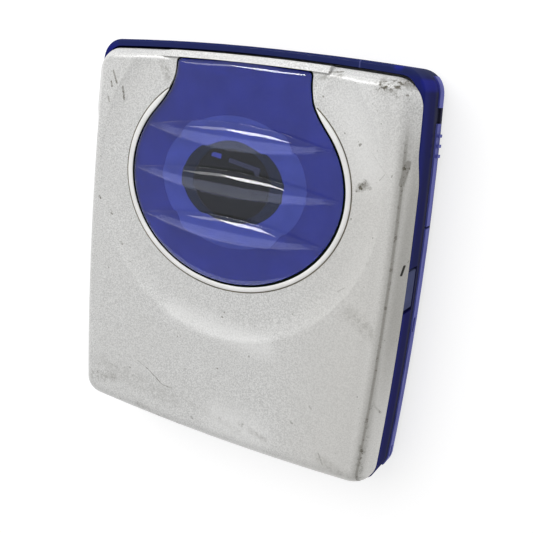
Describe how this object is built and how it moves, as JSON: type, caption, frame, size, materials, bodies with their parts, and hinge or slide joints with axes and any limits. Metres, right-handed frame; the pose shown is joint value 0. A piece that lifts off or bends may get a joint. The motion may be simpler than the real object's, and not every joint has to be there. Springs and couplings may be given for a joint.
{
  "type": "portable minidisc player",
  "caption": "Pocket player for small disc cartridges with a hinged silver lid, an oval blue window with a neck, and a sliding catch on its side.",
  "frame": {"origin": "middle of the flat back, at the bottom of the bounding box", "axes": "+Z out of the silver front, +Y towards the edge that opens, +X towards the side with the slider"},
  "size_m": [0.0796, 0.0888, 0.02],
  "materials": {
    "bezel_metal": "turned bright ring",
    "black_plastic": "moulded black plastic",
    "blue_glass": "glossy deep blue transparent plastic",
    "blue_metal": "satin dark blue metallic paint",
    "board_green": "solder-masked board",
    "cell_wrap": "plastic-wrapped cell",
    "damper_rubber": "soft rubber",
    "dark_print": "dark printed film",
    "grey_plastic": "moulded grey-blue plastic",
    "lens_glass": "coated lens",
    "light_blue_metal": "satin lighter blue metallic paint",
    "pale_print": "pale printed film",
    "rod_steel": "ground steel",
    "sheet_steel": "plated sheet steel",
    "silver_metal": "fine satin metallic paint",
    "slate_print": "slate printed film"
  },
  "bodies": {
    "base": {"lower_case": "blue_metal", "body_band": "blue_metal", "lower_side_strip": "light_blue_metal", "upper_side_strip": "light_blue_metal", "deck_plate": "sheet_steel", "hinge_ear_left": "sheet_steel", "hinge_ear_right": "sheet_steel", "hinge_pin_left": "rod_steel", "hinge_pin_right": "rod_steel", "lid_spring_left": "rod_steel", "lid_spring_right": "rod_steel", "mech_chassis": "sheet_steel", "dampers": "damper_rubber", "spindle_motor": "sheet_steel", "guide_rod_back": "rod_steel", "guide_rod_front": "rod_steel", "sled_motor": "sheet_steel", "screw_bearing": "black_plastic", "battery_cell": "cell_wrap", "cell_contact": "rod_steel", "door_pin": "rod_steel", "main_board": "board_green", "signal_chip": "black_plastic", "servo_chip": "black_plastic", "memory_chip": "black_plastic", "power_chip": "black_plastic", "headphone_jack": "black_plastic", "power_jack": "black_plastic", "slider_spring": "rod_steel", "switch_board": "board_green", "tact_switches": "black_plastic", "case_screws": "rod_steel"},
    "lid": {"front_cover": "silver_metal", "window_bezel": "bezel_metal", "window_glass": "blue_glass", "window_backing": "dark_print", "outer_print_ring": "pale_print", "inner_print_ring": "slate_print", "lid_frame": "black_plastic", "side_catch": "grey_plastic", "disc_holder": "sheet_steel", "holder_springs": "rod_steel", "holder_rivets": "rod_steel"},
    "spindle": {"spindle_shaft": "rod_steel", "turntable": "black_plastic", "clamp_magnet": "rod_steel"},
    "pickup": {"pickup_sled": "black_plastic", "lens_turret": "black_plastic", "pickup_lens": "lens_glass"},
    "feed_screw": {"lead_screw": "rod_steel"},
    "opener": {"open_slider": "light_blue_metal", "latch_slide": "sheet_steel"},
    "cell_door": {"battery_door": "blue_metal", "door_contact": "rod_steel"},
    "stop_key": {"stop_button": "light_blue_metal"},
    "play_key": {"play_button": "light_blue_metal"},
    "volume_down_key": {"volume_down_button": "light_blue_metal"},
    "volume_up_key": {"volume_up_button": "light_blue_metal"}
  },
  "joints": [
    {"name": "lid_hinge", "type": "hinge", "parent": "base", "child": "lid", "pos_m": [0, -0.0404, 0.0132], "axis": [1, 0, 0], "range_deg": [0, 35]},
    {"name": "spindle_turn", "type": "hinge", "parent": "base", "child": "spindle", "pos_m": [0, 0.0036, 0.0098], "axis": [0, 0, 1], "continuous": true},
    {"name": "pickup_travel", "type": "slide", "parent": "base", "child": "pickup", "axis": [1, 0, 0], "range_m": [0, 0.013]},
    {"name": "feed_screw_turn", "type": "hinge", "parent": "base", "child": "feed_screw", "pos_m": [0.02, -0.0086, 0.0056], "axis": [1, 0, 0], "range_deg": [0, 1560.5]},
    {"name": "opener_slide", "type": "slide", "parent": "base", "child": "opener", "axis": [0, 1, 0], "range_m": [0, 0.0026], "stiffness_N_per_m": 250},
    {"name": "cell_door_hinge", "type": "hinge", "parent": "base", "child": "cell_door", "pos_m": [-0.0386, -0.0384, 0.0053], "axis": [0, 0, 1], "range_deg": [0, 100]},
    {"name": "stop_press", "type": "slide", "parent": "base", "child": "stop_key", "axis": [1, 0, 0], "range_m": [0, 0.0005], "stiffness_N_per_m": 400},
    {"name": "play_press", "type": "slide", "parent": "base", "child": "play_key", "axis": [1, 0, 0], "range_m": [0, 0.0005], "stiffness_N_per_m": 400},
    {"name": "volume_down_press", "type": "slide", "parent": "base", "child": "volume_down_key", "axis": [1, 0, 0], "range_m": [0, 0.0005], "stiffness_N_per_m": 400},
    {"name": "volume_up_press", "type": "slide", "parent": "base", "child": "volume_up_key", "axis": [1, 0, 0], "range_m": [0, 0.0005], "stiffness_N_per_m": 400}
  ],
  "couplings": [
    {"joint": "feed_screw_turn", "follows": "pickup_travel", "rad_per_m": 2094.4}
  ]
}
